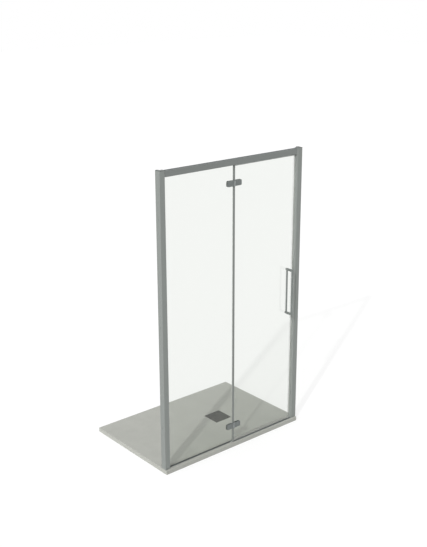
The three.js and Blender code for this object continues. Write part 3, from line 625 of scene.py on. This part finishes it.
traySettings = {
    "rimSide": 45 * mm,
    "rimFront": 90 * mm,
    "fallStart": 10 * mm,
    "fall": 3 * mm,
    "recessGap": 2.5 * mm,
    "recessDepth": 8 * mm,
    "frontRound": 3 * mm,
    "frontSteps": 4,
    "edgeRound": 0.8 * mm,
    "holeRadius": 46 * mm,
    "counterboreRadius": 60 * mm,
    "counterboreDepth": 8 * mm,
}


def makeTray():
    settings = traySettings
    low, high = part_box("shower_tray")
    coverLow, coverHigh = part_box("drain_cover")
    centre = (coverLow + coverHigh) / 2
    rimSide, rimFront = settings["rimSide"], settings["rimFront"]
    tray = addBlock(low, high)
    editing(tray)

    pick(tray, "FACE", lambda _, normal: facesUp(normal))
    bpy.ops.mesh.inset(thickness=rimSide)
    rimEdge = low.y + rimSide
    pick(tray, "VERT", lambda place, _: near(place.z, high.z) and near(place.y, rimEdge))
    bpy.ops.transform.translate(value=(0, rimFront - rimSide, 0))
    middle = Vector((0, (rimFront - rimSide) / 2, high.z))

    def isInner(place, normal):
        return facesUp(normal) and (place - middle).length < hair

    # The inner face shrinks to the recess and goes down to the falls' lower end
    fallStart = settings["fallStart"]
    pick(tray, "FACE", isInner)
    bpy.ops.mesh.inset(thickness=fallStart)
    innerX = high.x - low.x - 2 * (rimSide + fallStart)
    innerY = high.y - low.y - rimSide - rimFront - 2 * fallStart
    side = coverHigh.x - coverLow.x + 2 * settings["recessGap"]
    pick(tray, "FACE", isInner)
    shares = (side / innerX, side / innerY, 1)
    bpy.ops.transform.resize(value=shares, center_override=middle)
    move = Vector((centre.x, centre.y, high.z - settings["fall"])) - middle
    bpy.ops.transform.translate(value=move)
    drop = {"value": (0, 0, -settings["recessDepth"])}
    bpy.ops.mesh.extrude_region_move(TRANSFORM_OT_translate=drop)
    doneEditing()

    def isFrontTop(place, line):
        return along(line, rightAxis) and near(place.y, low.y) and near(place.z, high.z)

    roundEdges(tray, settings["frontRound"], settings["frontSteps"], isFrontTop)
    softenEdges(tray, settings["edgeRound"])
    start = (centre.x, centre.y, low.z - 2 * overCut)
    counterboreEnd = (centre.x, centre.y, low.z + settings["counterboreDepth"])
    hole = addRod(settings["holeRadius"], start, (centre.x, centre.y, high.z), largeSides)
    counterbore = addRod(settings["counterboreRadius"], start, counterboreEnd, largeSides)
    cutAway(tray, hole, counterbore)
    finishPiece(tray, "trayCasting", "enclosure", ["shower_tray"], stoneResin)


makeTray()


# Drain cover, a plate on four feet

coverSettings = {
    "corner": 3 * mm,
    "cornerSteps": 5,
    "edge": 0.9 * mm,
    "edgeSteps": 3,
    "footHeight": 3 * mm,
    "footRadius": 5 * mm,
    "footInset": 14 * mm,
    "footEdge": 0.5 * mm,
    "footSink": 1 * mm,
}


def makeCover():
    settings = coverSettings
    low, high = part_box("drain_cover")
    plateLow = low.z + settings["footHeight"]
    cover = addBlock((low.x, low.y, plateLow), high)

    def isUpright(_, line):
        return along(line, upAxis)

    roundEdges(cover, settings["corner"], settings["cornerSteps"], isUpright)
    softenEdges(cover, settings["edge"], settings["edgeSteps"])
    inset = settings["footInset"]
    footTop = plateLow + settings["footSink"]
    for x in (low.x + inset, high.x - inset):
        for y in (low.y + inset, high.y - inset):
            foot = addRod(settings["footRadius"], (x, y, low.z), (x, y, footTop), smallSides)
            softenEdges(foot, settings["footEdge"])
            weldOn(cover, foot)
    finishPiece(cover, "drainCover", "cover", ["drain_cover"], metals["coverSteel"])


makeCover()
print("tray and cover made")


# Profiles, caps and seals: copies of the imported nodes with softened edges.
# Each has its body, the width of its edges, its slot and its material

copiedPieces = {
    "wall_profile_left": ("enclosure", 0.35 * mm, "anodised", metals["anodisedOuter"]),
    "wall_profile_right": ("enclosure", 0.35 * mm, "anodised", metals["anodisedOuter"]),
    # The glass and closing profiles take the lighter aluminium, which is painted light
    "glass_profile_left": ("enclosure", 0.3 * mm, "anodised", metals["anodisedInnerPaintedLight"]),
    "closing_profile": ("enclosure", 0.3 * mm, "anodised", metals["anodisedInnerPaintedLight"]),
    "profile_cap_left": ("enclosure", 0.6 * mm, "cap_plastic", plastics["capPlastic"]),
    "profile_cap_right": ("enclosure", 0.6 * mm, "cap_plastic", plastics["capPlastic"]),
    "fixed_foot_seal": ("enclosure", 0.4 * mm, "dark_rubber", plastics["darkRubber"]),
    "threshold_strip": ("enclosure", 0.5 * mm, "dark_rubber", plastics["darkRubber"]),
    "sill_end_block": ("enclosure", 0.6 * mm, "pale_plastic", plastics["palePlastic"]),
    "rail_stop_strip": ("enclosure", 0.4 * mm, "dark_rubber", plastics["darkRubber"]),
    "frame_magnet_strip": ("enclosure", 0.3 * mm, "pale_plastic", plastics["palePlastic"]),
    "split_seal_lower": ("door", 0.4 * mm, "grey_seal", plastics["greySeal"]),
    "split_seal_middle": ("door", 0.4 * mm, "grey_seal", plastics["greySeal"]),
    "split_seal_upper": ("door", 0.4 * mm, "grey_seal", plastics["greySeal"]),
    "door_drip_seal": ("door", 0.4 * mm, "drip_plastic", plastics["dripPlastic"]),
    "door_magnet_seal": ("door", 0.5 * mm, "pale_seal", plastics["paleSeal"]),
}

for node, (body, edge, slot, material) in copiedPieces.items():
    copied = copyNode(node)
    softenEdges(copied, edge)
    finishPiece(copied, newName(node), body, [node], material)


# Top rail, with a shallow dark strip in its top: painted shade for a dark line along the rail's top

railSettings = {"edge": 0.4 * mm, "stripInset": 0.9 * mm, "stripDepth": 0.4 * mm}


def makeRail():
    settings = railSettings
    rail = copyNode("top_rail")
    softenEdges(rail, settings["edge"])
    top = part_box("top_rail")[1].z
    shadeStripTop = top - settings["stripDepth"]
    editing(rail)
    pick(rail, "FACE", lambda place, normal: facesUp(normal) and near(place.z, top))
    bpy.ops.mesh.inset(thickness=settings["stripInset"])
    drop = {"value": (0, 0, -settings["stripDepth"])}
    bpy.ops.mesh.extrude_region_move(TRANSFORM_OT_translate=drop)
    doneEditing()
    # The rail takes the darker aluminium, which is painted shade
    finishPiece(rail, "topRail", "enclosure", ["top_rail"], metals["anodisedAcrossPaintedShade"])
    # The dark rubber material on the top strip is painted shade, not a rubber part
    rail.data.materials.append(plastics["darkRubber"])
    for face in rail.data.polygons:
        if facesUp(face.normal) and near(face.center.z, shadeStripTop):
            face.material_index = 1


makeRail()
print("profiles, rail and seals made")


# Panes, with ground and arrised edges and a hole for each screw

paneSettings = {
    "arris": 0.8 * mm,
    "hole": 5 * mm,
    "smooth": 30,
}

levels = ("low", "high")
handleScrews = [f"handle_screw_{level}" for level in levels]


def hingeScrews(kind):  # kind is fixed or door
    return [f"hinge_{level}_{kind}_screw_{count}" for level in levels for count in (1, 2)]


def makePane(node, body, screws):
    settings = paneSettings
    low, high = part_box(node)
    pane = addBlock(low, high)
    softenEdges(pane, settings["arris"], 1)
    for screw in screws:
        middle = middleOf(screw)
        start = (middle.x, low.y - overCut, middle.z)
        end = (middle.x, high.y + overCut, middle.z)
        cutAway(pane, addRod(settings["hole"], start, end, smallSides))
    finishPiece(pane, newName(node), body, [node], glassFace, settings["smooth"])
    pane.data.materials.append(glassEdge)
    for face in pane.data.polygons:
        face.material_index = 0 if along(face.normal, backAxis) else 1


makePane("fixed_glass", "enclosure", hingeScrews("fixed"))
makePane("door_glass", "door", hingeScrews("door") + handleScrews)
print("panes made")


# Hinges: the leaf with knuckles outside, the back leaf inside, and two screws through both.
# Leaves are made for the door's side of the pin line, and mirrored for the fixed side

hingeX = middleOf("hinge_low_pin").x
lowerScrew, upperScrew = [middleOf(node) for node in hingeScrews("door")[:2]]
screwReach = upperScrew.x - hingeX
halfPitch = (upperScrew.z - lowerScrew.z) / 2

hingeSettings = {
    "start": 2.5 * mm,
    "reach": 59 * mm,
    "corner": 8 * mm,
    "cornerSteps": 8,
    "edge": 0.8 * mm,
    "edgeSteps": 3,
    "leaf": 7 * mm,
    "backLeaf": 5 * mm,
    "knuckle": 6 * mm,
    "knuckleEdge": 0.4 * mm,
    "sink": 0.5 * mm,
    "room": 0.4 * mm,
    "gap": 0.3 * mm,
    "pin": 3 * mm,
    "screwHole": 2.9 * mm,
    "thread": 5 * mm,
    "sunkRadius": 5.0 * mm,
    "sunkDepth": 2.4 * mm,
}


def makeLeafPlate(front, back, half):  # flat plate with two rounded far corners
    settings = hingeSettings
    plate = addBlock((settings["start"], front, -half), (settings["reach"], back, half))

    def isFarCorner(place, line):
        return along(line, backAxis) and near(place.x, settings["reach"])

    roundEdges(plate, settings["corner"], settings["cornerSteps"], isFarCorner)
    softenEdges(plate, settings["edge"], settings["edgeSteps"])
    return plate


def makeLeaf(front, half, lineY, own, room):  # own knuckles, and room for those of the other leaf
    settings = hingeSettings
    back = front + settings["leaf"]
    leaf = makeLeafPlate(front, back, half)
    for low, high in own:
        knuckle = addRod(settings["knuckle"], (0, lineY, low), (0, lineY, high), largeSides)
        softenEdges(knuckle, settings["knuckleEdge"])
        weldOn(leaf, knuckle)
    for low, high in room:
        radius = settings["knuckle"] + settings["room"]
        cutAway(leaf, addRod(radius, (0, lineY, low), (0, lineY, high), largeSides))
    bore = settings["pin"] + settings["gap"]
    cutAway(leaf, addRod(bore, (0, lineY, -2 * half), (0, lineY, 2 * half), pinSides))
    for z in (-halfPitch, halfPitch):
        start = (screwReach, back - settings["thread"], z)
        end = (screwReach, back + overCut, z)
        cutAway(leaf, addRod(settings["screwHole"], start, end, threadSides))
    return leaf


def makeBackLeaf(front, half):
    settings = hingeSettings
    back = front + settings["backLeaf"]
    leaf = makeLeafPlate(front, back, half)
    drill = [
        (settings["screwHole"], -settings["backLeaf"] - overCut),
        (settings["screwHole"], -settings["sunkDepth"]),
        (settings["sunkRadius"], 0),
        (settings["sunkRadius"], overCut),
    ]
    for z in (-halfPitch, halfPitch):
        tool = addTurned(drill)
        cutAway(leaf, moveMesh(tool, turn=(math.pi / 2, "X"), offset=(screwReach, back, z)))
    return leaf


def polishAndHighlightBarrel(piece, lineY):  # the knuckles are turned and smoother than the plates; their lighter tone is painted highlight for their lit side
    piece.data.materials.append(metals["barrelSteelPaintedHighlight"])
    for face in piece.data.polygons:
        reach = math.hypot(face.center.x - hingeX, face.center.y - lineY)
        if reach < hingeSettings["knuckle"] + hair:
            face.material_index = 1


def makeHinges():
    settings = hingeSettings
    low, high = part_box("hinge_low_fixed_leaf")
    half = (high.z - low.z) / 2
    lineY = low.y + settings["knuckle"]
    front = lineY - settings["sink"]
    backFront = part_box("hinge_low_fixed_back_leaf")[0].y
    third = 2 * half / 3
    first, second = -half + third, half - third  # the ends of the door's knuckle
    gap, over = settings["gap"], 2 * overCut
    own = {
        "fixed": [(-half, first), (second, half)],
        "door": [(first + gap, second - gap)],
    }
    room = {
        "fixed": [(first, second)],
        "door": [(-half - over, first + gap), (second - gap, half + over)],
    }
    steel = metals["hingeSteel"]
    for kind, body, mirror in (("fixed", "enclosure", (-1, 1, 1)), ("door", "door", None)):
        leaf = makeLeaf(front, half, lineY, own[kind], room[kind])
        backLeaf = makeBackLeaf(backFront, half)
        for part, suffix in ((leaf, "leaf"), (backLeaf, "back_leaf")):
            for level in levels:
                node = f"hinge_{level}_{kind}_{suffix}"
                offset = (hingeX, 0, middleOf(node).z)
                piece = anotherOf(part, offset=offset, mirror=mirror)
                finishPiece(piece, newName(node), body, [node], steel)
                polishAndHighlightBarrel(piece, lineY)
            bpy.data.objects.remove(part)


makeHinges()
print("hinges made")


# Screws. Each profile gives (radius, height) from the head's face to the tip, in millimetres

screwSettings = {
    "sunk": {
        "profile": [(4.6, 0), (2.5, 2.4), (2.5, 16.4), (1.9, 17)],
        "socket": 1.7, "depth": 1.6,
    },
    "handle": {
        "profile": [(6.4, -3), (7, -2.4), (7, 0), (2.5, 0), (2.5, 9.8), (1.9, 10.3)],
        "socket": 2.4, "depth": 1.8,
    },
    "small": {
        "profile": [(3.2, -2.5), (3.8, -2.1), (4, -1.4), (4, 0), (2, 0), (2, 8.5), (1.5, 9)],
        "socket": 1.7, "depth": 1.4,
    },
    "bracket": {
        "profile": [(3.2, -2.5), (3.8, -2.1), (4, -1.4), (4, 0), (2, 0), (2, 11.5), (1.5, 12)],
        "socket": 1.7, "depth": 1.4,
    },
}


def makeScrew(kind):  # its head lies at the back and its shank points to the front
    settings = screwSettings[kind]
    profile = [(radius * mm, height * mm) for radius, height in settings["profile"]]
    screw = addTurned(profile)
    top = profile[0][1]
    start, end = (0, 0, top - overCut), (0, 0, top + settings["depth"] * mm)
    cutAway(screw, addRod(settings["socket"] * mm, start, end, socketSides))
    return moveMesh(screw, turn=(-math.pi / 2, "X"))


def placeScrews(kind, nodes, body, material=metals["turnedSteel"]):
    screw = makeScrew(kind)
    backMost = max(point.co.y for point in screw.data.vertices)
    for node in sorted(nodes):
        middle = middleOf(node)
        offset = (middle.x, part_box(node)[1].y - backMost, middle.z)
        piece = anotherOf(screw, offset=offset)
        finishPiece(piece, newName(node), body, [node], material)
    bpy.data.objects.remove(screw)


sides = ("left", "right")
lockScrews = [f"lock_screw_{side}_{level}" for side in sides for level in levels]
bracketScrews = [f"rail_bracket_screw_{side}" for side in sides]
placeScrews("sunk", hingeScrews("fixed"), "enclosure")
placeScrews("sunk", hingeScrews("door"), "door")
placeScrews("small", lockScrews, "enclosure")
placeScrews("bracket", bracketScrews, "enclosure")
placeScrews("handle", handleScrews, "door", metals["handleSteel"])


# Hinge pins

pinSettings = {"edge": 0.5 * mm, "edgeSteps": 3}


def makePin(node):
    settings = pinSettings
    low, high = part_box(node)
    middle = middleOf(node)
    start, end = (middle.x, middle.y, low.z), (middle.x, middle.y, high.z)
    pin = addRod((high.x - low.x) / 2, start, end, pinSides)
    softenEdges(pin, settings["edge"], settings["edgeSteps"])
    finishPiece(pin, newName(node), "enclosure", [node], metals["turnedSteel"])


for level in levels:
    makePin(f"hinge_{level}_pin")
print("screws and pins made")


# Handle, a closed loop of square bar with taller end bars

handleSettings = {
    "bar": 9 * mm,
    "endBar": 16 * mm,
    "corner": 2.2 * mm,
    "cornerSteps": 5,
    "edge": 0.7 * mm,
    "edgeSteps": 3,
    "thread": 5 * mm,
    "hole": 2.9 * mm,
}


def makeHandle():
    settings = handleSettings
    low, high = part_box("handle_loop")
    bar = Vector((-overCut, settings["bar"], settings["endBar"]))
    loop = addBlock(low, high)

    def runsAcross(_, line):
        return along(line, rightAxis)

    roundEdges(loop, settings["corner"], settings["cornerSteps"], runsAcross)
    cutAway(loop, addBlock(low + bar, high - bar))
    softenEdges(loop, settings["edge"], settings["edgeSteps"])
    for screw in handleScrews:
        middle = middleOf(screw)
        start = (middle.x, high.y - settings["thread"], middle.z)
        end = (middle.x, high.y + overCut, middle.z)
        cutAway(loop, addRod(settings["hole"], start, end, threadSides))
    finishPiece(loop, "handleLoop", "door", ["handle_loop"], metals["handleSteel"])


makeHandle()
print("handle made")


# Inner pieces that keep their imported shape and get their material

innerMaterials = {
    "waste_gasket": plastics["darkRubber"],
    "waste_nut": plastics["capPlastic"],
    "waste_flange": metals["turnedSteel"],
    "hair_strainer": metals["turnedSteel"],
    "fixed_side_gasket": plastics["darkRubber"],
    "fixed_top_gasket": plastics["darkRubber"],
    "rail_bracket_left": plastics["capPlastic"],
    "rail_bracket_right": plastics["capPlastic"],
    "hinge_low_fixed_pad": plastics["darkRubber"],
    "hinge_low_door_pad": plastics["darkRubber"],
    "hinge_high_fixed_pad": plastics["darkRubber"],
    "hinge_high_door_pad": plastics["darkRubber"],
}

for node, material in innerMaterials.items():
    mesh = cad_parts[node].data
    mesh.materials.clear()
    mesh.materials.append(material)

print("all pieces made")
